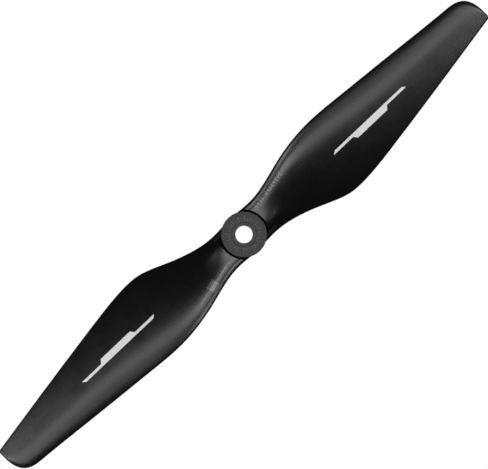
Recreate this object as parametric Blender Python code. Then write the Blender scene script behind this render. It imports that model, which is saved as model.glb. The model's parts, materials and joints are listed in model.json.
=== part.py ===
"""A two-blade fixed-pitch propeller for drones and model aircraft, 10 x 4.5 inch.

Metres, +Z up. The origin is on the spin axis at half the hub's thickness. +Z is the thrust
direction, so the front of the propeller faces up. Blade A points along +X with its leading
edge towards +Y, and blade B is blade A turned by half a turn. The propeller turns
counter-clockwise seen from the front.
"""

import math

import bmesh
import bpy
import numpy as np

MM = 0.001
INCH = 0.0254

# Driving dimensions
DIAMETER = 10 * INCH
PITCH = 4.5 * INCH
HUB_RADIUS = 8.9 * MM
HUB_HALF_THICKNESS = 5.0 * MM
SHAFT_BORE_RADIUS = 3.35 * MM  # clears a 1/4 inch shaft
GAP = 0.3 * MM  # between pieces that touch on the real propeller

# Blade
TIP_RADIUS = DIAMETER / 2
PITCH_BLEND_RADIUS = 37 * MM  # inboard of here the pitch angle levels off towards the hub
BLADE_DROP = 0.3 * MM  # keeps the root's top below the hub's front face
CAMBER = 0.045
CAMBER_PLACE = 0.42
TRAILING_THICKNESS = 0.6 * MM
ROOT_SWELL = 2.0 * MM  # the back's extra height where the root flattens out into the hub
ROOT_SWELL_BEHIND = 1.0 * MM
ROOT_SWELL_END = 22 * MM
ROOT_SWELL_POWER = 1.6  # moves the swelling towards the trailing edge
TIP_CURVE_START = 116.4 * MM  # from here the leading edge sweeps round to the trailing corner
TIP_CURVE_END_OFFSET = -3.1 * MM
TIP_CURVE_POWER_ALONG = 3.2
TIP_CURVE_POWER_ACROSS = 2.8
TRAILING_CORNER_RADIUS = 0.8 * MM
TIP_EDGE_RADIUS = 0.6 * MM
LEAST_TIP_THICKNESS = 0.25 * MM

# (distance from the axis, offset from the blade's centreline), in mm, as seen from the front
LEADING_EDGE = [
    (0, 8.4), (12, 7.7), (20, 9.2), (29, 11.7), (38, 13.5), (48, 14.3),
    (62, 13.6), (80, 12.2), (96, 10.9), (108, 9.9), (118, 9.2), (127, 8.6),
]
TRAILING_EDGE = [
    (0, -8.2), (12, -7.7), (20, -9.2), (29, -12.3), (37, -15.5), (41, -16.6),
    (46, -17.0), (54, -16.5), (66, -14.8), (90, -10.8), (127, -4.3),
]
# (distance from the axis, greatest thickness), in mm
THICKNESS = [(0, 3.2), (12, 3.1), (28, 2.9), (46, 2.6), (80, 1.95), (110, 1.45), (127, 1.15)]

SECTION_STEPS = 13  # from the leading to the trailing edge, along one side
ROOT_STATIONS = 16
OUTER_STATIONS = 13
TIP_STATIONS = 11
ROOT_START = 5 * MM  # inside the hub's radius, and cut away by the hub's clearance
WIDEST_RADIUS = 50 * MM

# Hub
ROUND_STEPS = 72
EDGE_CHAMFER = 0.35 * MM
FACE_DISC_THICKNESS = 1.4 * MM
BUSH_SLEEVE_RADIUS = 4.65 * MM
BUSH_FLANGE_RADIUS = 6.2 * MM
BUSH_FLANGE_THICKNESS = 1.8 * MM
BUSH_CLEARANCE = 0.15 * MM
CUTTER_HALF_HEIGHT = 12 * MM

# Printed stripe on each blade: one long line, with a shorter one against its trailing side
STRIPE_CENTRE_RADIUS = 65.8 * MM
STRIPE_CENTRE_OFFSET = -1.9 * MM
STRIPE_LENGTH = 38.3 * MM
STRIPE_STEP_LENGTH = 18.0 * MM
STRIPE_LINE_WIDTH = 1.1 * MM
STRIPE_STEP_WIDTH = 1.5 * MM
STRIPE_SLANT = 1.2 * MM
INK_THICKNESS = 0.12 * MM
STRIPE_GRID = 1.6 * MM

HALF_TURN = math.pi


def smooth_curve(points):
    """The natural cubic spline through (x, y) points given in mm, as a function in metres."""
    x, y = np.array(points, float).T * MM
    step = np.diff(x)
    rows = np.eye(len(x))
    right = np.zeros(len(x))
    for i in range(1, len(x) - 1):
        rows[i, i - 1 : i + 2] = step[i - 1], 2 * (step[i - 1] + step[i]), step[i]
        right[i] = 6 * ((y[i + 1] - y[i]) / step[i] - (y[i] - y[i - 1]) / step[i - 1])
    bend = np.linalg.solve(rows, right)

    def value(at):
        i = int(np.clip(np.searchsorted(x, at) - 1, 0, len(step) - 1))
        before, after = at - x[i], x[i + 1] - at
        return (
            (bend[i] * after**3 + bend[i + 1] * before**3) / (6 * step[i])
            + (y[i] / step[i] - bend[i] * step[i] / 6) * after
            + (y[i + 1] / step[i] - bend[i + 1] * step[i] / 6) * before
        )

    return value


leading_line = smooth_curve(LEADING_EDGE)
trailing_line = smooth_curve(TRAILING_EDGE)
thickness_line = smooth_curve(THICKNESS)


def quarter_round(place, length):
    """1 until a length before the tip, then down to 0 at the tip along a quarter circle."""
    into = max(0.0, (place - (TIP_RADIUS - length)) / length)
    return math.sqrt(max(0.0, 1 - into**2))


def leading_edge(radius):
    """Offset of the leading edge, which turns in a broad curve towards the trailing corner."""
    along = max(0.0, (radius - TIP_CURVE_START) / (TIP_RADIUS - TIP_CURVE_START))
    across = max(0.0, 1 - along**TIP_CURVE_POWER_ALONG) ** (1 / TIP_CURVE_POWER_ACROSS)
    return TIP_CURVE_END_OFFSET + (leading_line(radius) - TIP_CURVE_END_OFFSET) * across


def trailing_edge(radius):
    """Offset of the trailing edge, straight up to a small rounded corner at the tip."""
    corner = 1 - quarter_round(radius, TRAILING_CORNER_RADIUS)
    return trailing_line(radius) + TRAILING_CORNER_RADIUS * corner


def pitch_slope(radius):
    """Tangent of the pitch angle: the geometric pitch outboard, levelling off inboard."""
    softened = (radius**4 + PITCH_BLEND_RADIUS**4) ** 0.25
    return PITCH / (2 * math.pi * softened)


def half_thickness(share, chord, thickness):
    """Half the section's thickness at a share of the chord, with a rounded trailing edge."""
    body = 5 * thickness * (
        0.2969 * math.sqrt(share) - 0.1260 * share - 0.3516 * share**2
        + 0.2843 * share**3 - 0.1036 * share**4
    )
    edge = min(TRAILING_THICKNESS, 0.5 * thickness)
    round_start = max(0.5, 1 - edge / (2 * chord))
    into = max(0.0, (share - round_start) / (1 - round_start))
    return (body + edge / 2 * share) * math.sqrt(max(0.0, 1 - into**2))


def camber_height(share):
    """Height of the camber line over the chord, as a share of the chord."""
    if share < CAMBER_PLACE:
        return CAMBER * (2 * CAMBER_PLACE * share - share**2) / CAMBER_PLACE**2
    rest = 1 - CAMBER_PLACE
    return CAMBER * (1 - 2 * CAMBER_PLACE + 2 * CAMBER_PLACE * share - share**2) / rest**2


def root_swell(radius, share):
    """The root's swelling at a share of the chord, from 1 at the hub to 0 at ROOT_SWELL_END."""
    fade = (ROOT_SWELL_END - radius) / (ROOT_SWELL_END - HUB_RADIUS)
    fade = min(max(fade, 0.0), 1.0)
    return fade**2 * (3 - 2 * fade) * math.sin(math.pi * share**ROOT_SWELL_POWER) ** 2


def section(radius, steps):
    """The blade's closed outline at one radius as (y, z): the back from the trailing to the
    leading edge, then the face back again. It fills the width between the two edges."""
    front, rear = leading_edge(radius), trailing_edge(radius)
    slope = pitch_slope(radius)
    cosine = 1 / math.hypot(1, slope)
    sine = slope * cosine
    chord = (front - rear) / cosine
    thickness = thickness_line(radius) * quarter_round(radius, TIP_EDGE_RADIUS)
    thickness = min(max(thickness, LEAST_TIP_THICKNESS), 0.6 * chord)
    shares = [(1 - math.cos(math.pi * i / steps)) / 2 for i in range(steps + 1)]
    outline = []
    sides = ((1, ROOT_SWELL, shares[::-1]), (-1, ROOT_SWELL_BEHIND, shares[1:-1]))
    for side, swell, places in sides:
        for share in places:
            half = half_thickness(share, chord, thickness) + swell * root_swell(radius, share)
            lift = camber_height(share) * chord + side * half
            along = share * chord
            outline.append((-along * cosine - lift * sine, lift * cosine - along * sine))
    y, z = np.array(outline).T
    y = rear + (y - y.min()) / (y.max() - y.min()) * (front - rear)
    return y, z + front * slope - BLADE_DROP


def back_height(radius, offset):
    """Height of the blade's front-facing surface at a radius and an offset."""
    steps = 40
    y, z = section(radius, steps)
    return float(np.interp(offset, y[: steps + 1], z[: steps + 1]))


def stations():
    """Radii of the blade's sections, closer together at the root and the tip."""
    root = np.linspace(ROOT_START, WIDEST_RADIUS, ROOT_STATIONS, endpoint=False)
    outer = np.linspace(WIDEST_RADIUS, TIP_CURVE_START, OUTER_STATIONS, endpoint=False)
    turn = np.linspace(0, math.pi / 2, TIP_STATIONS)
    tip = TIP_CURVE_START + (TIP_RADIUS - TIP_CURVE_START) * np.sin(turn)
    return [*root, *outer, *tip]


def material(name, colour, roughness):
    made = bpy.data.materials.new(name)
    made.use_nodes = True
    shader = made.node_tree.nodes["Principled BSDF"]
    shader.inputs["Base Color"].default_value = (*colour, 1)
    shader.inputs["Roughness"].default_value = roughness
    shader.inputs["Metallic"].default_value = 0
    return made


def add_object(name, mesh, finish):
    if not mesh.materials:
        mesh.materials.append(finish)
    made = bpy.data.objects.new(name, mesh)
    bpy.context.scene.collection.objects.link(made)
    return made


def mesh_of_loops(name, loops, joined_round=False):
    """A closed mesh over a row of point loops: capped at both ends, or joined end to start."""
    shape = bmesh.new()
    rings = [[shape.verts.new(point) for point in loop] for loop in loops]
    following = rings[1:] + rings[:1] if joined_round else rings[1:]
    for ring, after in zip(rings, following):
        for i in range(len(ring)):
            j = (i + 1) % len(ring)
            shape.faces.new((ring[i], ring[j], after[j], after[i]))
    if not joined_round:
        shape.faces.new(rings[0][::-1])
        shape.faces.new(rings[-1])
    bmesh.ops.recalc_face_normals(shape, faces=shape.faces)
    mesh = bpy.data.meshes.new(name)
    shape.to_mesh(mesh)
    shape.free()
    mesh.shade_smooth()
    mesh.set_sharp_from_angle(angle=math.radians(35))
    return mesh


def turned_mesh(name, profile):
    """A ring-shaped mesh from a closed (radius, height) profile turned about the spin axis."""
    angles = [2 * math.pi * i / ROUND_STEPS for i in range(ROUND_STEPS)]
    loops = [[(r * math.cos(a), r * math.sin(a), z) for r, z in profile] for a in angles]
    return mesh_of_loops(name, loops, joined_round=True)


def hub_clearance():
    """The cutter that leaves a gap between the hub and both blade roots."""
    radius = (HUB_RADIUS + GAP) / math.cos(math.pi / ROUND_STEPS)
    bpy.ops.mesh.primitive_cylinder_add(
        vertices=ROUND_STEPS, radius=radius, depth=2 * CUTTER_HALF_HEIGHT
    )
    cutter = bpy.context.active_object
    cutter.name = "hub_clearance"
    cutter.hide_render = True
    cutter.display_type = "WIRE"
    return cutter


def blades(finish):
    """Two like blades, each ending in a hollow root face around the hub."""
    loops = []
    for radius in stations():
        y, z = section(radius, SECTION_STEPS)
        loops.append([(radius, *point) for point in zip(y, z)])
    mesh = mesh_of_loops("blade", loops)
    cutter = hub_clearance()
    for name, turn in (("blade_a", 0), ("blade_b", HALF_TURN)):
        blade = add_object(name, mesh, finish)
        blade.rotation_euler.z = turn
        cut = blade.modifiers.new("hub_clearance", "BOOLEAN")
        cut.operation = "DIFFERENCE"
        cut.solver = "EXACT"
        cut.object = cutter


def stripe_prints(finish):
    """The printed stripe of each blade, a thin film that follows the blade's surface."""
    along = [-STRIPE_LENGTH / 2, -STRIPE_LENGTH / 2 + STRIPE_SLANT]
    step_ends = (STRIPE_STEP_LENGTH / 2 - STRIPE_SLANT, STRIPE_STEP_LENGTH / 2)
    along += list(np.arange(along[-1] + STRIPE_GRID, -step_ends[1], STRIPE_GRID))
    along += [-step_ends[1], -step_ends[0]]
    along += list(np.arange(-step_ends[0] + STRIPE_GRID, 0, STRIPE_GRID))
    along += [-place for place in along[::-1]]
    top = STRIPE_CENTRE_OFFSET + (STRIPE_LINE_WIDTH + STRIPE_STEP_WIDTH) / 2
    loops = []
    for place in along:
        ends = min(1.0, (STRIPE_LENGTH / 2 - abs(place)) / STRIPE_SLANT)
        step = np.interp(abs(place), step_ends, (1.0, 0.0))
        low = top - STRIPE_LINE_WIDTH - STRIPE_STEP_WIDTH * step
        high = low + max(0.15 * MM, (top - low) * ends)
        radius = STRIPE_CENTRE_RADIUS + place
        under = [back_height(radius, offset) + GAP for offset in (low, high)]
        loops.append(
            [
                (radius, low, under[0]),
                (radius, high, under[1]),
                (radius, high, under[1] + INK_THICKNESS),
                (radius, low, under[0] + INK_THICKNESS),
            ]
        )
    mesh = mesh_of_loops("stripe_print", loops)
    for name, turn in (("stripe_print_a", 0), ("stripe_print_b", HALF_TURN)):
        add_object(name, mesh, finish).rotation_euler.z = turn


def hub_barrel(finish):
    """The hub's body, bored for the bush's sleeve and counterbored behind for its flange."""
    low = -HUB_HALF_THICKNESS
    high = HUB_HALF_THICKNESS - FACE_DISC_THICKNESS - GAP
    bore = BUSH_SLEEVE_RADIUS + BUSH_CLEARANCE
    seat = BUSH_FLANGE_RADIUS + BUSH_CLEARANCE
    shelf = low + BUSH_FLANGE_THICKNESS + BUSH_CLEARANCE
    profile = [
        (bore, shelf),
        (bore, high),
        (HUB_RADIUS, high),
        (HUB_RADIUS, low + EDGE_CHAMFER),
        (HUB_RADIUS - EDGE_CHAMFER, low),
        (seat, low),
        (seat, shelf),
    ]
    add_object("hub_barrel", turned_mesh("hub_barrel", profile), finish)


def hub_face_disc(finish):
    """The disc on the hub's front, against which the washer and nut are tightened."""
    high = HUB_HALF_THICKNESS
    low = high - FACE_DISC_THICKNESS
    bore = BUSH_SLEEVE_RADIUS + BUSH_CLEARANCE
    profile = [
        (bore, low),
        (bore, high),
        (HUB_RADIUS - EDGE_CHAMFER, high),
        (HUB_RADIUS, high - EDGE_CHAMFER),
        (HUB_RADIUS, low),
    ]
    add_object("hub_face_disc", turned_mesh("hub_face_disc", profile), finish)


def shaft_bush(finish):
    """The flanged bush that suits the hub to one shaft size. It pulls out of the hub's rear."""
    low, high = -HUB_HALF_THICKNESS, HUB_HALF_THICKNESS
    shelf = low + BUSH_FLANGE_THICKNESS
    profile = [
        (SHAFT_BORE_RADIUS, low + EDGE_CHAMFER),
        (SHAFT_BORE_RADIUS, high - EDGE_CHAMFER),
        (SHAFT_BORE_RADIUS + EDGE_CHAMFER, high),
        (BUSH_SLEEVE_RADIUS, high),
        (BUSH_SLEEVE_RADIUS, shelf),
        (BUSH_FLANGE_RADIUS, shelf),
        (BUSH_FLANGE_RADIUS, low),
        (SHAFT_BORE_RADIUS + EDGE_CHAMFER, low),
    ]
    add_object("shaft_bush", turned_mesh("shaft_bush", profile), finish)


def main():
    for thing in list(bpy.data.objects):
        bpy.data.objects.remove(thing)
    blade_nylon = material("blade_nylon", (0.012, 0.012, 0.013), 0.38)
    hub_nylon = material("hub_nylon", (0.030, 0.030, 0.031), 0.60)
    bush_nylon = material("bush_nylon", (0.035, 0.035, 0.037), 0.50)
    print_ink = material("print_ink", (0.66, 0.66, 0.66), 0.45)
    blades(blade_nylon)
    hub_barrel(hub_nylon)
    hub_face_disc(hub_nylon)
    shaft_bush(bush_nylon)
    stripe_prints(print_ink)


main()
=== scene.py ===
"""Looks for the two-blade propeller: fine surfaces, moulded detail, materials, light and camera.

Everything is in metres in the part's own frame: the spin axis is Z, the front faces +Z, blade A
points along +X with its leading edge towards +Y, and blade B is blade A turned by half a turn.
"""

import functools
import json
import math
from collections import namedtuple

import bmesh
import bpy
import numpy as np
from mathutils import Matrix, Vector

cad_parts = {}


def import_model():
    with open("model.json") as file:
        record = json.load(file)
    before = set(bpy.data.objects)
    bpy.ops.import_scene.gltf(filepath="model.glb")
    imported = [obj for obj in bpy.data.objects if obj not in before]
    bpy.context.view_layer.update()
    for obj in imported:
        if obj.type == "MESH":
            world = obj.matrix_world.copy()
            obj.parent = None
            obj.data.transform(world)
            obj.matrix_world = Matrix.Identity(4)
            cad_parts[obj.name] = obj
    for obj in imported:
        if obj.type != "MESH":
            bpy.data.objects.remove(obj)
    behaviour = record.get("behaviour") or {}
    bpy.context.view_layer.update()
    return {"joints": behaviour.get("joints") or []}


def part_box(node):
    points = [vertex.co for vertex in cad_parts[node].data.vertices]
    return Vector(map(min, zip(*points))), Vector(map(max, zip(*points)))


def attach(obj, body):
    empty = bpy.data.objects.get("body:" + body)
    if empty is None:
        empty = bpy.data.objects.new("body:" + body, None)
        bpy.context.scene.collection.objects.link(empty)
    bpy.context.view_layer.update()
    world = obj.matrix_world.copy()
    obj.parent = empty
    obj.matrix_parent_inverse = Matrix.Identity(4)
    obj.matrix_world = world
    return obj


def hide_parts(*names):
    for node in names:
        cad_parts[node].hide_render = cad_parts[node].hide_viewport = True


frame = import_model()

MM = 0.001
INCH = 0.0254
HALF_TURN = math.pi
SIDES = (("a", 0), ("b", HALF_TURN))

# ---------------------------------------------------------------- the part's own dimensions

HUB_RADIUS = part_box("hub_barrel")[1].x
HUB_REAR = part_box("hub_barrel")[0].z
DISC_REAR, DISC_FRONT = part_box("hub_face_disc")[0].z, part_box("hub_face_disc")[1].z
BUSH_FLANGE_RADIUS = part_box("shaft_bush")[1].x
BUSH_TRAVEL = frame["joints"][0]["range_m"][1]

# The fine blade's edges lie this far outside the plain model's
LEADING_GROWTH = 0.15 * MM
TRAILING_GROWTH = 0.12 * MM
TIP_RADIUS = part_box("blade_a")[1].x + TRAILING_GROWTH

PITCH = 4.5 * INCH
PITCH_BLEND_RADIUS = 37 * MM  # inboard of here the pitch angle levels off towards the hub
BLADE_DROP = 0.3 * MM  # keeps the root's top below the hub's front face
CAMBER = 0.045
CAMBER_PLACE = 0.42
TRAILING_THICKNESS = 0.6 * MM
TRAILING_ROUND = 1.1  # length of the trailing edge's rounding, in trailing thicknesses
ROOT_SWELL = 2.0 * MM  # the back's extra height where the root flattens out into the hub
ROOT_SWELL_BEHIND = 1.0 * MM
ROOT_SWELL_END = 22 * MM
ROOT_SWELL_POWER = 1.6  # moves the swelling towards the trailing edge
WIDEST_RADIUS = 50 * MM
TIP_CURVE_START = 116.4 * MM  # from here the leading edge sweeps round to the trailing corner
TIP_CURVE_END_OFFSET = -3.1 * MM
TIP_CURVE_POWER_ALONG = 3.2
TIP_CURVE_POWER_ACROSS = 2.8
TRAILING_CORNER_RADIUS = 0.8 * MM
TIP_EDGE_LENGTH = 0.6 * MM  # the thickness runs out over it, in a steep flank
TIP_EDGE_POWER = 0.7
LEAST_THICKNESS = 0.25 * MM
GREATEST_THICKNESS = 0.6  # share of the chord

# (distance from the axis, offset from the blade's centreline), in mm, as seen from the front
LEADING_EDGE = [
    (0, 8.4), (12, 7.7), (20, 9.2), (29, 11.7), (38, 13.5), (48, 14.3),
    (62, 13.6), (80, 12.2), (96, 10.9), (108, 9.9), (118, 9.2), (127, 8.6),
]
TRAILING_EDGE = [
    (0, -8.2), (12, -7.7), (20, -9.2), (29, -12.3), (37, -15.5), (41, -16.6),
    (46, -17.0), (54, -16.5), (66, -14.8), (90, -10.8), (127, -4.3),
]
# (distance from the axis, greatest thickness), in mm
THICKNESS = [(0, 3.2), (12, 3.1), (28, 2.9), (46, 2.6), (80, 1.95), (110, 1.45), (127, 1.15)]

# ---------------------------------------------------------------- fine shapes

# Groove round the hub's disc, at each blade root
GROOVE_WIDTH = 0.80 * MM
GROOVE_DEPTH = 1.9 * MM
GROOVE_POWER = 1.3  # over 1, so that the groove's outer lip is rounded
GROOVE_SHARE = 0.7  # the most of the blade's thickness that the groove takes
GROOVE_LOW = -0.5 * MM  # it fades out between these heights, down the root's trailing side
GROOVE_HIGH = 2.0 * MM

# Blade mesh
SECTION_STEPS = 90  # from edge to edge, along the back or the face
SECTION_TABLE_STEP = 0.25 * MM
BLADE_START = 8.5 * MM  # inside the barrel's wall
BLADE_WRAP_END = 16 * MM  # up to here the sections bend round the hub
BLADE_WRAP_ROUNDS = 14  # of the search for a bent section's places
# (start of a stretch, loops in it); the last stretch ends where the tip curve starts
BLADE_STRETCHES = [
    (BLADE_START, 4), (HUB_RADIUS, 18), (HUB_RADIUS + GROOVE_WIDTH, 26),
    (BLADE_WRAP_END, 60), (WIDEST_RADIUS, 60),
]
TIP_LOOPS = 34

# Hub
HUB_STEPS = 240
CORNER_STEPS = 6
HUB_EDGE_ROUND = 0.3 * MM
FLANGE_ROUND = 0.15 * MM
SEAM_ROUND = 0.06 * MM
MOUTH_ROUND = 0.04 * MM
BARREL_STEP_IN = 0.05 * MM  # from the disc's edge in to the barrel's wall
BORE_RADIUS = 3.35 * MM
BORE_CHAMFER_WIDTH = 0.30 * MM  # a steep lead-in at both ends of the hole
BORE_CHAMFER_DEPTH = 0.70 * MM
SLEEVE_RADIUS = 4.65 * MM
BUSH_SEAM = 0.07 * MM
BUSH_FLANGE_THICKNESS = 1.8 * MM
BUSH_FLANGE_CLEARANCE = 0.15 * MM

# Radial ribs on the hub's disc, with their lengths and widths in turn
DISC_RIB_COUNT = 32
DISC_RIB_INNER = 5.2 * MM
DISC_RIB_LENGTHS = (2.1 * MM, 1.5 * MM, 2.1 * MM, 1.2 * MM)
DISC_RIB_WIDTHS = (0.70 * MM, 0.50 * MM, 0.60 * MM)
DISC_RIB_HEIGHT = 0.10 * MM
DISC_RIB_SLOPE = 0.08 * MM

# Moulded marks at the blade roots: plain bars, each row from end to end of its middle line
MARK_HEIGHT = 0.20 * MM
MARK_SLOPE = 0.07 * MM
MARK_WIDTH = 0.62 * MM
MARK_ROW_A = ((10.9 * MM, 4.9 * MM), (26.2 * MM, 7.2 * MM))
MARK_COUNT_A = 13
MARK_GAPS_A = (4,)  # places left empty in the row
MARK_LENGTHS_A = (1.9 * MM, 1.2 * MM, 1.9 * MM, 1.9 * MM, 1.5 * MM)  # in turn, along the row
MARK_ROW_B = ((13.0 * MM, 4.1 * MM), (31.0 * MM, 8.2 * MM))
MARK_RIB_WIDTH = 0.45 * MM
MARK_PAD = 4.4 * MM  # a square plate on the rib
MARK_PAD_PLACE = 0.52  # share of the row
MARK_PAD_BARS = 3
MARK_PAD_BAR_LENGTH = 2.8 * MM
MARK_PAD_BAR_SPREAD = 0.8  # share of the plate that the bars are spread over
BAR_CELL = 0.5 * MM  # greatest spacing of a bar's points
BAR_FOOT = 0.03 * MM  # how deep its slopes run into the surface
BAR_SINK = 0.1 * MM

# Printed stripe: one long line, with a shorter one against its trailing side
STRIPE_CENTRE_RADIUS = 65.8 * MM
STRIPE_CENTRE_OFFSET = -1.9 * MM
STRIPE_LENGTH = 38.3 * MM
STRIPE_STEP_LENGTH = 18.0 * MM
STRIPE_LINE_WIDTH = 1.1 * MM
STRIPE_STEP_WIDTH = 1.5 * MM
STRIPE_SLANT = 1.2 * MM
STRIPE_LEAST_WIDTH = 0.15 * MM
INK_HEIGHT = 0.04 * MM
INK_SINK = 0.05 * MM
INK_GRID = 0.4 * MM
INK_LANES = 6

# ---------------------------------------------------------------- light and camera

# Camera: straight along the spin axis, from so far that it shows next to no perspective
LENS = 800
SENSOR = 36
VIEW_WIDTH = 189.4 * MM  # what the frame spans at the hub
CLIP_END = 100
BLADE_ANGLE = math.radians(43.5)  # blade A above the horizontal

# Panels over the propeller: (name, x, y, width, depth, radiance), each with a twin at (-x, -y)
SOFTBOX_HEIGHT = 0.30
SOFTBOXES = [
    ("outer_panel", 0.24, -0.20, 0.08, 0.16, 18.9),
    ("broad_panel", 0.20, -0.04, 0.16, 0.16, 2.6),
    ("inner_panel", 0.08, -0.08, 0.08, 0.08, 2.5),
    ("root_panel", 0.0, -0.08, 0.08, 0.08, 7.3),
]
# Dimmer panels under it, for the views from below
UNDER_HEIGHT = -0.30
UNDER_SOFTBOXES = [
    ("under_panel", 0.18, 0.02, 0.16, 0.16, 4.0),
    ("under_middle_panel", 0.05, 0.14, 0.12, 0.10, 4.0),
]
# The studio's brightness by the height of the direction: (sine of the elevation, brightness).
# It is dark to the sides of the blades and has a bright band beyond their tips.
STUDIO_SIDES = [(-1.0, 0.2), (-0.8, 0.2), (-0.6, 0.015), (0.0, 0.015), (0.5, 0.006), (1.0, 0.02)]
STUDIO_ENDS = [
    (-1.0, 0.3), (-0.8, 0.4), (-0.5, 0.4), (-0.05, 0.2),
    (0.05, 0.3), (0.45, 0.45), (0.65, 0.02), (1.0, 0.02),
]
STUDIO_END_START = 0.45  # share of the direction along X where the band starts to show
STUDIO_END_FULL = 0.90

FLOOR_SIZE = 6
FLOOR_GAP = 1 * MM  # under the bush at the end of its travel


# ---------------------------------------------------------------- blade shape


def smooth_step(value):
    """0 below 0, 1 above 1 and a smooth rise between them."""
    value = np.clip(value, 0, 1)
    return value * value * (3 - 2 * value)


def smooth_curve(points):
    """The natural cubic spline through (x, y) points given in mm, as a function in metres."""
    x, y = np.array(points, float).T * MM
    step = np.diff(x)
    rows = np.eye(len(x))
    right = np.zeros(len(x))
    for i in range(1, len(x) - 1):
        rows[i, i - 1 : i + 2] = step[i - 1], 2 * (step[i - 1] + step[i]), step[i]
        right[i] = 6 * ((y[i + 1] - y[i]) / step[i] - (y[i] - y[i - 1]) / step[i - 1])
    bend = np.linalg.solve(rows, right)

    def value(at):
        i = int(np.clip(np.searchsorted(x, at) - 1, 0, len(step) - 1))
        before, after = at - x[i], x[i + 1] - at
        return (
            (bend[i] * after**3 + bend[i + 1] * before**3) / (6 * step[i])
            + (y[i] / step[i] - bend[i] * step[i] / 6) * after
            + (y[i + 1] / step[i] - bend[i + 1] * step[i] / 6) * before
        )

    return value


leading_line = smooth_curve(LEADING_EDGE)
trailing_line = smooth_curve(TRAILING_EDGE)
thickness_line = smooth_curve(THICKNESS)


def leading_edge(radius):
    """Offset of the leading edge, which turns in a broad curve towards the trailing corner."""
    along = max(0.0, (radius - TIP_CURVE_START) / (TIP_RADIUS - TIP_CURVE_START))
    across = max(0.0, 1 - along**TIP_CURVE_POWER_ALONG) ** (1 / TIP_CURVE_POWER_ACROSS)
    line = leading_line(radius) + LEADING_GROWTH
    return TIP_CURVE_END_OFFSET + (line - TIP_CURVE_END_OFFSET) * across


def trailing_edge(radius):
    """Offset of the trailing edge, straight up to a small rounded corner at the tip."""
    corner_start = TIP_RADIUS - TRAILING_CORNER_RADIUS
    into = max(0.0, (radius - corner_start) / TRAILING_CORNER_RADIUS)
    corner = 1 - math.sqrt(max(0.0, 1 - into**2))
    return trailing_line(radius) - TRAILING_GROWTH + TRAILING_CORNER_RADIUS * corner


def pitch_slope(radius):
    """Tangent of the pitch angle: the geometric pitch outboard, levelling off inboard."""
    softened = (radius**4 + PITCH_BLEND_RADIUS**4) ** 0.25
    return PITCH / (2 * math.pi * softened)


def greatest_thickness(radius, chord):
    """A section's greatest thickness, which runs out at the blade's end."""
    edge_left = min(max((TIP_RADIUS - radius) / TIP_EDGE_LENGTH, 0.0), 1.0)
    thickness = thickness_line(radius) * edge_left**TIP_EDGE_POWER
    return min(max(thickness, LEAST_THICKNESS), GREATEST_THICKNESS * chord)


def half_thickness(share, chord, thickness):
    """Half the thickness at shares of the chord: the usual four-digit section, with a rounded
    trailing edge."""
    body = 5 * thickness * (
        0.2969 * np.sqrt(share) - 0.1260 * share - 0.3516 * share**2
        + 0.2843 * share**3 - 0.1036 * share**4
    )
    edge = min(TRAILING_THICKNESS, thickness / 2)
    round_start = max(0.5, 1 - TRAILING_ROUND * edge / chord)
    into = np.maximum(0.0, (share - round_start) / (1 - round_start))
    return (body + edge / 2 * share) * np.sqrt(np.maximum(0.0, 1 - into**2))


def camber_height(share):
    """Height of the camber line at shares of the chord, as a share of the chord."""
    rest = 1 - CAMBER_PLACE
    ahead = CAMBER * (2 * CAMBER_PLACE * share - share**2) / CAMBER_PLACE**2
    behind = CAMBER * (1 - 2 * CAMBER_PLACE + 2 * CAMBER_PLACE * share - share**2) / rest**2
    return np.where(share < CAMBER_PLACE, ahead, behind)


def root_swell(radius, share):
    """The root's swelling at shares of the chord, from 1 at the hub to 0 at ROOT_SWELL_END."""
    fade = smooth_step((ROOT_SWELL_END - radius) / (ROOT_SWELL_END - HUB_RADIUS))
    return fade * np.sin(math.pi * share**ROOT_SWELL_POWER) ** 2


@functools.cache
def section(radius):
    """The blade's closed outline at one radius as (y, z): the back from the trailing to the
    leading edge, then the face back again. It fills the width between the two edges."""
    front, rear = leading_edge(radius), trailing_edge(radius)
    slope = pitch_slope(radius)
    cosine = 1 / math.hypot(1, slope)
    sine = slope * cosine
    chord = (front - rear) / cosine

    share = (1 - np.cos(math.pi * np.arange(SECTION_STEPS + 1) / SECTION_STEPS)) / 2
    half = half_thickness(share, chord, greatest_thickness(radius, chord))
    camber = camber_height(share) * chord
    swell = root_swell(radius, share)
    back = camber + half + ROOT_SWELL * swell
    face = camber - half - ROOT_SWELL_BEHIND * swell

    along = np.concatenate([share[::-1], share[1:-1]]) * chord
    lift = np.concatenate([back[::-1], face[1:-1]])
    y = -along * cosine - lift * sine
    z = lift * cosine - along * sine
    y = rear + (y - y.min()) / (y.max() - y.min()) * (front - rear)
    return y, z + front * slope - BLADE_DROP


def back_height(radius, offset):
    """Height of the blade's front-facing surface at a radius and an offset."""
    y, z = section(radius)
    return float(np.interp(offset, y[: SECTION_STEPS + 1], z[: SECTION_STEPS + 1]))


# ---------------------------------------------------------------- mesh helpers


def loft(shape, loops, joined_round):
    """Adds a closed body over a row of point loops: capped at both ends, or joined end to start."""
    rings = [[shape.verts.new(point) for point in loop] for loop in loops]
    following = rings[1:] + rings[:1] if joined_round else rings[1:]
    for ring, after in zip(rings, following):
        for i in range(len(ring)):
            j = (i + 1) % len(ring)
            shape.faces.new((ring[i], ring[j], after[j], after[i]))
    if not joined_round:
        shape.faces.new(rings[0][::-1])
        shape.faces.new(rings[-1])


def mesh_of(name, bodies, joined_round=False):
    """One mesh that holds a closed body for each row of point loops."""
    shape = bmesh.new()
    for loops in bodies:
        loft(shape, loops, joined_round)
    bmesh.ops.recalc_face_normals(shape, faces=shape.faces)
    mesh = bpy.data.meshes.new(name)
    shape.to_mesh(mesh)
    shape.free()
    return mesh


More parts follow.
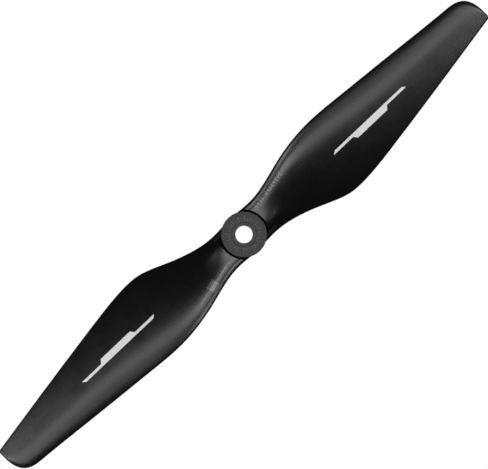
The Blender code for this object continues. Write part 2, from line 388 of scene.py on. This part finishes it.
def finished(name, mesh, finish, sharp=40):
    """The mesh as a smooth-shaded object that wears one material."""
    mesh.materials.append(finish)
    mesh.shade_smooth()
    mesh.set_sharp_from_angle(angle=math.radians(sharp))
    made = bpy.data.objects.new(name, mesh)
    bpy.context.scene.collection.objects.link(made)
    return made


def rounded(corner, before, after, radius):
    """Points of a rounded corner in a (radius, height) profile."""
    corner, before, after = (np.array(p, float) for p in (corner, before, after))
    ahead = (before - corner) / np.linalg.norm(before - corner)
    away = (after - corner) / np.linalg.norm(after - corner)
    half = math.acos(float(np.clip(ahead @ away, -1, 1))) / 2
    length = radius / math.tan(half)
    start, end = corner + ahead * length, corner + away * length
    middle = corner + (ahead + away) / np.linalg.norm(ahead + away) * radius / math.sin(half)
    points = []
    for i in range(CORNER_STEPS + 1):
        part = i / CORNER_STEPS
        spoke = (start - middle) * (1 - part) + (end - middle) * part
        points.append(tuple(middle + spoke / np.linalg.norm(spoke) * radius))
    return points


def turned(name, profile, finish):
    """A ring turned about the spin axis from (radius, height, corner radius) points."""
    points = []
    for i, (r, z, corner) in enumerate(profile):
        if corner:
            before, after = profile[i - 1][:2], profile[(i + 1) % len(profile)][:2]
            points += rounded((r, z), before, after, corner)
        else:
            points.append((r, z))
    angles = [2 * math.pi * i / HUB_STEPS for i in range(HUB_STEPS)]
    loops = [[(r * math.cos(a), r * math.sin(a), z) for r, z in points] for a in angles]
    return finished(name, mesh_of(name, [loops], joined_round=True), finish)


def place(piece, turn, *cad_nodes, slot, body="propeller"):
    """Turns a piece to its blade, ties it to its body and hides the plain model's nodes that it
    replaces. The slot is not used.
    """
    piece.data.transform(Matrix.Rotation(turn, 4, "Z"))
    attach(piece, body)
    if cad_nodes:
        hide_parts(*cad_nodes)


# ---------------------------------------------------------------- blades


def section_table(reach):
    """Sections from the axis out to a reach: their places, and the offsets and heights there."""
    places = np.arange(0, reach + SECTION_TABLE_STEP, SECTION_TABLE_STEP)
    rows = [section(x) for x in places]
    return places, np.array([y for y, _ in rows]).T, np.array([z for _, z in rows]).T


def wrapped_section(table, radius):
    """A section that keeps to one radius near the hub and straightens out up to BLADE_WRAP_END."""
    places, offsets, heights = table
    start = HUB_RADIUS + GROOVE_WIDTH
    straight = smooth_step((radius - start) / (BLADE_WRAP_END - start))
    x = np.full(len(offsets), radius)
    for _ in range(BLADE_WRAP_ROUNDS):
        y = np.array([np.interp(at, places, row) for at, row in zip(x, offsets)])
        arc = np.sqrt(np.maximum(0, radius**2 - y**2))
        x = straight * radius + (1 - straight) * arc
    z = np.array([np.interp(at, places, row) for at, row in zip(x, heights)])
    return x, y, z


def groove_depth(radius, y, z):
    """How far the back of a wrapped section is sunk beside the hub's disc."""
    back, face = slice(0, SECTION_STEPS + 1), slice(SECTION_STEPS, None)
    into = np.clip(1 - (radius - HUB_RADIUS) / GROOVE_WIDTH, 0, 1)
    thickness = z[back] - np.interp(y[back], y[face][::-1], z[face][::-1])
    fade = smooth_step((z[back] - GROOVE_LOW) / (GROOVE_HIGH - GROOVE_LOW))
    most = GROOVE_SHARE * np.maximum(0, thickness)
    return fade * np.minimum(GROOVE_DEPTH * into**GROOVE_POWER, most)


def blade_radii():
    """Radii of the blade's loops, closest together in the groove and at the tip."""
    ends = [start for start, _ in BLADE_STRETCHES[1:]] + [TIP_CURVE_START]
    for (start, count), end in zip(BLADE_STRETCHES, ends):
        yield from np.linspace(start, end, count, endpoint=False)
    turn = np.linspace(0, math.pi / 2, TIP_LOOPS)
    yield from TIP_CURVE_START + (TIP_RADIUS - TIP_CURVE_START) * np.sin(turn)


def blade_mesh():
    """The fine blade, with a groove where it meets the hub's disc."""
    table = section_table(BLADE_WRAP_END)
    loops = []
    for radius in blade_radii():
        if radius < BLADE_WRAP_END:
            x, y, z = wrapped_section(table, radius)
            z[: SECTION_STEPS + 1] -= groove_depth(radius, y, z)
        else:
            y, z = section(radius)
            x = np.full(len(y), radius)
        loops.append(list(zip(x, y, z)))
    return mesh_of("blade", [loops])


def blades(finish):
    """The two blades, which share one shape."""
    mesh = blade_mesh()
    for side, turn in SIDES:
        piece = finished("blade_shell_" + side, mesh.copy(), finish)
        place(piece, turn, "blade_" + side, slot="blade_nylon")


# ---------------------------------------------------------------- hub


def hub_body(finish):
    """The barrel, bored for the bush's sleeve and counterbored behind for its flange."""
    bore = SLEEVE_RADIUS + BUSH_SEAM
    seat = BUSH_FLANGE_RADIUS + BUSH_FLANGE_CLEARANCE
    shelf = HUB_REAR + BUSH_FLANGE_THICKNESS + BUSH_FLANGE_CLEARANCE
    wall = HUB_RADIUS - BARREL_STEP_IN
    profile = [
        (bore, shelf, 0),
        (bore, DISC_REAR, 0),
        (wall, DISC_REAR, 0),
        (wall, HUB_REAR, HUB_EDGE_ROUND),
        (seat, HUB_REAR, FLANGE_ROUND),
        (seat, shelf, 0),
    ]
    place(turned("hub_body", profile, finish), 0, "hub_barrel", slot="blade_nylon")


def hub_front_disc(finish):
    """The disc on the hub's front, against which the washer and nut are tightened."""
    bore = SLEEVE_RADIUS + BUSH_SEAM
    profile = [
        (bore, DISC_REAR, 0),
        (bore, DISC_FRONT, SEAM_ROUND),
        (HUB_RADIUS, DISC_FRONT, HUB_EDGE_ROUND),
        (HUB_RADIUS, DISC_REAR, 0),
    ]
    place(turned("hub_front_disc", profile, finish), 0, "hub_face_disc", slot="hub_nylon")


def bush(finish):
    """The flanged bush, with a steep lead-in at both ends of its hole."""
    mouth = BORE_RADIUS + BORE_CHAMFER_WIDTH
    shelf = HUB_REAR + BUSH_FLANGE_THICKNESS
    profile = [
        (mouth, HUB_REAR, MOUTH_ROUND),
        (BORE_RADIUS, HUB_REAR + BORE_CHAMFER_DEPTH, 0),
        (BORE_RADIUS, DISC_FRONT - BORE_CHAMFER_DEPTH, 0),
        (mouth, DISC_FRONT, MOUTH_ROUND),
        (SLEEVE_RADIUS, DISC_FRONT, SEAM_ROUND),
        (SLEEVE_RADIUS, shelf, 0),
        (BUSH_FLANGE_RADIUS, shelf, FLANGE_ROUND),
        (BUSH_FLANGE_RADIUS, HUB_REAR, FLANGE_ROUND),
    ]
    place(turned("bush", profile, finish), 0, "shaft_bush", slot="bush_nylon", body="bush")


# ---------------------------------------------------------------- moulded bars

Bar = namedtuple("Bar", "middle angle length width height slope")


def bar_lanes(size, slope):
    """Places across a bar's size: its rims, the inner ends of its slopes and even steps between."""
    inner = size / 2 - slope
    count = max(2, math.ceil(2 * inner / BAR_CELL) + 1)
    return [-size / 2, *np.linspace(-inner, inner, count), size / 2]


def bar_loops(bar, surface):
    """Point loops along a low bar with sloping sides; surface gives the height at a place."""
    along = np.array([math.cos(bar.angle), math.sin(bar.angle)])
    across = np.array([-along[1], along[0]])
    places, lanes = bar_lanes(bar.length, bar.slope), bar_lanes(bar.width, bar.slope)
    rims = places[0], places[-1], lanes[0], lanes[-1]
    loops = []
    for at in places:
        spots = [np.array(bar.middle) + at * along + off * across for off in lanes]
        top = []
        for off, (x, y) in zip(lanes, spots):
            on_rim = at in rims[:2] or off in rims[2:]
            top.append((x, y, surface(x, y) + (-BAR_FOOT if on_rim else bar.height)))
        bottom = [(x, y, surface(x, y) - BAR_SINK) for x, y in spots[::-1]]
        loops.append(top + bottom)
    return loops


def raised_bars(name, bars, surface, finish):
    """Low bars on a surface, as one object."""
    mesh = mesh_of(name, [bar_loops(bar, surface) for bar in bars])
    return finished(name, mesh, finish, sharp=60)


def disc_ribs(finish):
    """Fine radial ribs, moulded on the hub's front face."""
    bars = []
    for i in range(DISC_RIB_COUNT):
        angle = 2 * math.pi * i / DISC_RIB_COUNT
        length = DISC_RIB_LENGTHS[i % len(DISC_RIB_LENGTHS)]
        width = DISC_RIB_WIDTHS[i % len(DISC_RIB_WIDTHS)]
        reach = DISC_RIB_INNER + length / 2
        middle = (reach * math.cos(angle), reach * math.sin(angle))
        bars.append(Bar(middle, angle, length, width, DISC_RIB_HEIGHT, DISC_RIB_SLOPE))
    ribs = raised_bars("hub_disc_ribs", bars, lambda x, y: DISC_FRONT, finish)
    place(ribs, 0, slot="hub_nylon")


def row_of(ends):
    """A row's start, its whole step to the end, and its angle."""
    start, end = (np.array(point) for point in ends)
    step = end - start
    return start, step, math.atan2(step[1], step[0])


def root_marks_a(finish):
    """A row of bars across its middle line, near the hub on blade A."""
    start, step, lean = row_of(MARK_ROW_A)
    bars = []
    for i in range(MARK_COUNT_A):
        if i not in MARK_GAPS_A:
            middle = start + step * i / (MARK_COUNT_A - 1)
            length = MARK_LENGTHS_A[i % len(MARK_LENGTHS_A)]
            bars.append(Bar(middle, lean + math.pi / 2, length, MARK_WIDTH, MARK_HEIGHT, MARK_SLOPE))
    place(raised_bars("root_marks_a", bars, back_height, finish), 0, slot="blade_nylon")


def root_marks_b(finish):
    """A rib with a square plate on it and bars on the plate, near the hub on blade B."""
    start, step, lean = row_of(MARK_ROW_B)
    end = start + step
    unit = step / np.linalg.norm(step)
    pad = start + step * MARK_PAD_PLACE
    bars = [Bar(pad, lean, MARK_PAD, MARK_PAD, MARK_HEIGHT, MARK_SLOPE)]
    for first, last in ((start, pad - unit * MARK_PAD / 2), (pad + unit * MARK_PAD / 2, end)):
        length = np.linalg.norm(last - first)
        middle = (first + last) / 2
        bars.append(Bar(middle, lean, length, MARK_RIB_WIDTH, MARK_HEIGHT, MARK_SLOPE))
    for i in range(MARK_PAD_BARS):
        share = ((i + 0.5) / MARK_PAD_BARS - 0.5) * MARK_PAD_BAR_SPREAD
        size = MARK_PAD_BAR_LENGTH, MARK_WIDTH, 2 * MARK_HEIGHT
        bars.append(Bar(pad + unit * MARK_PAD * share, lean + math.pi / 2, *size, MARK_SLOPE))
    place(raised_bars("root_marks_b", bars, back_height, finish), HALF_TURN, slot="blade_nylon")


# ---------------------------------------------------------------- printed stripes


def stripe_rows():
    """(place along the blade, lower edge, upper edge) of the stripe, from end to end."""
    half = STRIPE_LENGTH / 2
    step_ends = (STRIPE_STEP_LENGTH / 2 - STRIPE_SLANT, STRIPE_STEP_LENGTH / 2)
    along = np.linspace(-half, half, round(STRIPE_LENGTH / INK_GRID) + 1)
    corners = [side * at for side in (-1, 1) for at in (*step_ends, half - STRIPE_SLANT)]
    top = STRIPE_CENTRE_OFFSET + (STRIPE_LINE_WIDTH + STRIPE_STEP_WIDTH) / 2
    for at in sorted({*along, *corners}):
        ends = min(1.0, (half - abs(at)) / STRIPE_SLANT)
        step = np.interp(abs(at), step_ends, (1.0, 0.0))
        low = top - STRIPE_LINE_WIDTH - STRIPE_STEP_WIDTH * step
        yield STRIPE_CENTRE_RADIUS + at, low, low + max(STRIPE_LEAST_WIDTH, (top - low) * ends)


def stripes(finish):
    """A thin closed layer of ink on each blade's front surface."""
    loops = []
    for x, low, high in stripe_rows():
        lanes = np.linspace(low, high, INK_LANES + 1)
        top = [(x, y, back_height(x, y) + INK_HEIGHT) for y in lanes]
        bottom = [(x, y, back_height(x, y) - INK_SINK) for y in lanes[::-1]]
        loops.append(top + bottom)
    mesh = mesh_of("stripe_ink", [loops])
    for side, turn in SIDES:
        piece = finished("stripe_ink_" + side, mesh.copy(), finish)
        place(piece, turn, "stripe_print_" + side, slot="print_ink")


# ---------------------------------------------------------------- materials


def grey(value, blue=0.03):
    """A grey with a little more blue in it."""
    return (value, value, value * (1 + blue))


class Finish:
    """One Principled material with a few procedural layers."""

    def __init__(self, name, specular):
        self.material = bpy.data.materials.new(name)
        self.material.use_nodes = True
        self.nodes = self.material.node_tree.nodes
        self.links = self.material.node_tree.links
        self.shader = self.nodes["Principled BSDF"]
        self.shader.inputs["Specular IOR Level"].default_value = specular
        self.coordinates = self.nodes.new("ShaderNodeTexCoord")

    def scaled(self, texture, scale):
        """Lays the texture over the object's own coordinates, times a scale."""
        mapping = self.nodes.new("ShaderNodeMapping")
        mapping.inputs["Scale"].default_value = scale
        self.links.new(self.coordinates.outputs["Object"], mapping.inputs[0])
        self.links.new(mapping.outputs[0], texture.inputs["Vector"])

    def noise(self, grain, detail=3.0, stretch=(1, 1, 1)):
        """Soft noise with grains of about the given size, drawn out by the stretch."""
        texture = self.nodes.new("ShaderNodeTexNoise")
        texture.inputs["Scale"].default_value = 1.0
        texture.inputs["Detail"].default_value = detail
        self.scaled(texture, [1 / (grain * s) for s in stretch])
        return texture.outputs[0]

    def rings(self, spacing):
        """Turned rings round the spin axis."""
        texture = self.nodes.new("ShaderNodeTexWave")
        texture.wave_type = "RINGS"
        texture.rings_direction = "Z"
        texture.inputs["Scale"].default_value = 0.3
        texture.inputs["Distortion"].default_value = 0.6
        self.scaled(texture, [1 / spacing] * 3)
        return texture.outputs["Fac"]

    def ranged(self, value, low, high, start=0.3, end=0.7):
        """The value's range from start to end, moved to low to high."""
        node = self.nodes.new("ShaderNodeMapRange")
        numbers = {"From Min": start, "From Max": end, "To Min": low, "To Max": high}
        for socket, number in numbers.items():
            node.inputs[socket].default_value = number
        self.links.new(value, node.inputs["Value"])
        return node.outputs[0]

    def sum(self, first, second):
        """Two values added up."""
        node = self.nodes.new("ShaderNodeMath")
        self.links.new(first, node.inputs[0])
        self.links.new(second, node.inputs[1])
        return node.outputs[0]

    def blend(self, factor, first, second):
        """A colour between the first, which may be a socket, and the second."""
        node = self.nodes.new("ShaderNodeMix")
        node.data_type = "RGBA"
        self.links.new(factor, node.inputs["Factor"])
        for socket, colour in ((node.inputs[6], first), (node.inputs[7], second)):
            if isinstance(colour, tuple):
                socket.default_value = (*colour, 1)
            else:
                self.links.new(colour, socket)
        return node.outputs[2]

    def colour(self, socket):
        self.links.new(socket, self.shader.inputs["Base Color"])

    def roughness(self, socket):
        self.links.new(socket, self.shader.inputs["Roughness"])

    def bump(self, height, distance):
        node = self.nodes.new("ShaderNodeBump")
        node.inputs["Distance"].default_value = distance
        self.links.new(height, node.inputs["Height"])
        self.links.new(node.outputs[0], self.shader.inputs["Normal"])


def blade_nylon(name, level, specular):
    """Satin black glass-filled nylon: faint flow lines, fine grain and a few paler specks."""
    finish = Finish(name, specular)
    cloud = finish.ranged(finish.noise(2.2 * MM), 0, 1)
    body = finish.blend(cloud, grey(level * 0.85), grey(level * 1.15))
    fibres = finish.noise(0.22 * MM, detail=1, stretch=(3, 1, 1))
    specks = finish.ranged(fibres, 0, 1, start=0.66, end=0.78)
    finish.colour(finish.blend(specks, body, grey(level * 2.5)))
    sheen = finish.ranged(finish.noise(7 * MM), 0.25, 0.29)
    flow = finish.noise(0.8 * MM, detail=2, stretch=(14, 1, 1))
    finish.roughness(finish.sum(sheen, finish.ranged(flow, -0.008, 0.008)))
    finish.bump(finish.noise(0.16 * MM, detail=2), 0.001 * MM)
    return finish.material


def hub_nylon(name, level):
    """Black nylon with a fine matt texture, which looks grey under the lights."""
    finish = Finish(name, 0.3)
    cloud = finish.ranged(finish.noise(0.9 * MM), 0, 1)
    body = finish.blend(cloud, grey(level * 0.90), grey(level * 1.10))
    dust = finish.ranged(finish.noise(0.18 * MM, detail=2), 0, 1, start=0.55, end=0.75)
    finish.colour(finish.blend(dust, body, grey(level * 1.25)))
    finish.roughness(finish.ranged(finish.noise(2.5 * MM), 0.54, 0.66))
    finish.bump(finish.noise(0.14 * MM, detail=2), 0.004 * MM)
    return finish.material


def bush_nylon(name, level):
    """Turned black nylon: fine rings round the axis."""
    finish = Finish(name, 0.35)
    rings = finish.rings(0.25 * MM)
    finish.colour(finish.blend(rings, grey(level * 0.9), grey(level * 1.1)))
    finish.roughness(finish.ranged(finish.noise(1.5 * MM), 0.46, 0.56))
    finish.bump(finish.sum(rings, finish.noise(0.12 * MM)), 0.005 * MM)
    return finish.material


def print_ink(name, level):
    """Light grey pad-printed ink: a little cloudy, with tiny pinholes."""
    finish = Finish(name, 0.3)
    cloud = finish.ranged(finish.noise(1.6 * MM), 0, 1)
    body = finish.blend(cloud, grey(level * 0.95, blue=0), grey(level * 1.05, blue=0))
    holes = finish.ranged(finish.noise(0.2 * MM, detail=1), 0, 0.6, start=0.72, end=0.8)
    finish.colour(finish.blend(holes, body, grey(level * 0.35, blue=0)))
    finish.roughness(finish.ranged(finish.noise(1.0 * MM), 0.45, 0.58))
    finish.bump(finish.noise(0.15 * MM, detail=2), 0.005 * MM)
    return finish.material


# ---------------------------------------------------------------- stage


def one_sided_glow(name, strength):
    """A material that glows on its front and is clear from behind."""
    made = bpy.data.materials.new(name)
    made.use_nodes = True
    nodes, links = made.node_tree.nodes, made.node_tree.links
    nodes.clear()
    out = nodes.new("ShaderNodeOutputMaterial")
    side = nodes.new("ShaderNodeNewGeometry")
    glow = nodes.new("ShaderNodeEmission")
    glow.inputs["Strength"].default_value = strength
    clear = nodes.new("ShaderNodeBsdfTransparent")
    mix = nodes.new("ShaderNodeMixShader")
    links.new(side.outputs["Backfacing"], mix.inputs[0])
    links.new(glow.outputs[0], mix.inputs[1])
    links.new(clear.outputs[0], mix.inputs[2])
    links.new(mix.outputs[0], out.inputs["Surface"])
    return made


def floor():
    """A plain white sheet, just clear of the bush at the end of its travel. It is left out of
    the reflections."""
    height = HUB_REAR - BUSH_TRAVEL - FLOOR_GAP
    bpy.ops.mesh.primitive_plane_add(size=FLOOR_SIZE, location=(0, 0, height))
    sheet = bpy.context.active_object
    sheet.name = "floor"
    sheet.data.materials.append(one_sided_glow("white_floor", 1.0))
    for kind in ("diffuse", "glossy", "transmission", "shadow"):
        setattr(sheet, "visible_" + kind, False)


def world():
    """A dim studio, only seen in reflections: the camera sees plain white."""
    made = bpy.data.worlds.new("world")
    bpy.context.scene.world = made
    made.use_nodes = True
    nodes, links = made.node_tree.nodes, made.node_tree.links
    nodes.clear()
    direction = nodes.new("ShaderNodeTexCoord")
    split = nodes.new("ShaderNodeSeparateXYZ")
    links.new(direction.outputs["Generated"], split.inputs[0])

    height = nodes.new("ShaderNodeMapRange")
    height.inputs["From Min"].default_value = -1.0
    links.new(split.outputs["Z"], height.inputs["Value"])

    sideways = nodes.new("ShaderNodeMath")
    sideways.operation = "ABSOLUTE"
    links.new(split.outputs["X"], sideways.inputs[0])
    endwards = nodes.new("ShaderNodeMapRange")
    endwards.inputs["From Min"].default_value = STUDIO_END_START
    endwards.inputs["From Max"].default_value = STUDIO_END_FULL
    links.new(sideways.outputs[0], endwards.inputs["Value"])

    shades = nodes.new("ShaderNodeMix")
    shades.data_type = "RGBA"
    links.new(endwards.outputs[0], shades.inputs["Factor"])
    for socket, brightnesses in ((shades.inputs[6], STUDIO_SIDES), (shades.inputs[7], STUDIO_ENDS)):
        ramp = nodes.new("ShaderNodeValToRGB")
        links.new(height.outputs[0], ramp.inputs[0])
        links.new(ramp.outputs[0], socket)
        stops = ramp.color_ramp.elements
        for _ in brightnesses[2:]:
            stops.new(0.5)
        for stop, (sine, _) in zip(stops, brightnesses):
            stop.position = (sine + 1) / 2
        for stop, (_, brightness) in zip(stops, brightnesses):
            stop.color = (brightness, brightness, brightness, 1)

    studio = nodes.new("ShaderNodeBackground")
    links.new(shades.outputs[2], studio.inputs["Color"])
    white = nodes.new("ShaderNodeBackground")
    white.inputs["Color"].default_value = (1, 1, 1, 1)
    path = nodes.new("ShaderNodeLightPath")
    mix = nodes.new("ShaderNodeMixShader")
    links.new(path.outputs["Is Camera Ray"], mix.inputs[0])
    links.new(studio.outputs[0], mix.inputs[1])
    links.new(white.outputs[0], mix.inputs[2])
    out = nodes.new("ShaderNodeOutputWorld")
    links.new(mix.outputs[0], out.inputs["Surface"])


def softbox(name, middle, size, radiance):
    """A level rectangular panel that shines straight down, or up from below the propeller."""
    data = bpy.data.lights.new(name, "AREA")
    data.shape = "RECTANGLE"
    data.size, data.size_y = size
    data.energy = radiance * math.pi * size[0] * size[1]
    lamp = bpy.data.objects.new(name, data)
    bpy.context.scene.collection.objects.link(lamp)
    lamp.location = middle
    lamp.rotation_euler = (math.pi if middle[2] < 0 else 0, 0, 0)
    lamp.visible_camera = False


def lights():
    """Panels above and below in pairs, so that both blades are lit alike."""
    for height, panels in ((SOFTBOX_HEIGHT, SOFTBOXES), (UNDER_HEIGHT, UNDER_SOFTBOXES)):
        for name, x, y, width, depth, radiance in panels:
            for side, sign in (("a", 1), ("b", -1)):
                middle = (sign * x, sign * y, height)
                softbox(name + "_" + side, middle, (width, depth), radiance)


def camera():
    """The photographer's view, straight at the front of the propeller."""
    data = bpy.data.cameras.new("camera")
    data.lens, data.sensor_width = LENS, SENSOR
    data.clip_end = CLIP_END
    eye = bpy.data.objects.new("camera", data)
    bpy.context.scene.collection.objects.link(eye)
    eye.location = (0, 0, VIEW_WIDTH * LENS / SENSOR)
    eye.rotation_euler = (0, 0, -BLADE_ANGLE)
    bpy.context.scene.camera = eye


def main():
    camera()
    satin = blade_nylon("blade_nylon_fine", level=0.0034, specular=0.5)
    # The root marks wear the blade's nylon with a base colour about six times lighter, which is a
    # painted highlight. They also have a higher specular level.
    marks_painted_highlight = blade_nylon("blade_nylon_marks_painted_highlight", level=0.02, specular=0.9)
    blades(satin)
    hub_body(satin)
    hub_front_disc(hub_nylon("hub_nylon_fine", level=0.0295))
    bush(bush_nylon("bush_nylon_fine", level=0.028))
    # The disc's ribs wear the hub's nylon at about twice its base colour: a painted highlight on the
    # raised ribs.
    disc_ribs(hub_nylon("hub_nylon_ribs_painted_highlight", level=0.064))
    root_marks_a(marks_painted_highlight)
    root_marks_b(marks_painted_highlight)
    stripes(print_ink("print_ink_fine", level=0.63))
    floor()
    world()
    lights()
    bpy.context.scene.view_settings.view_transform = "Standard"


main()
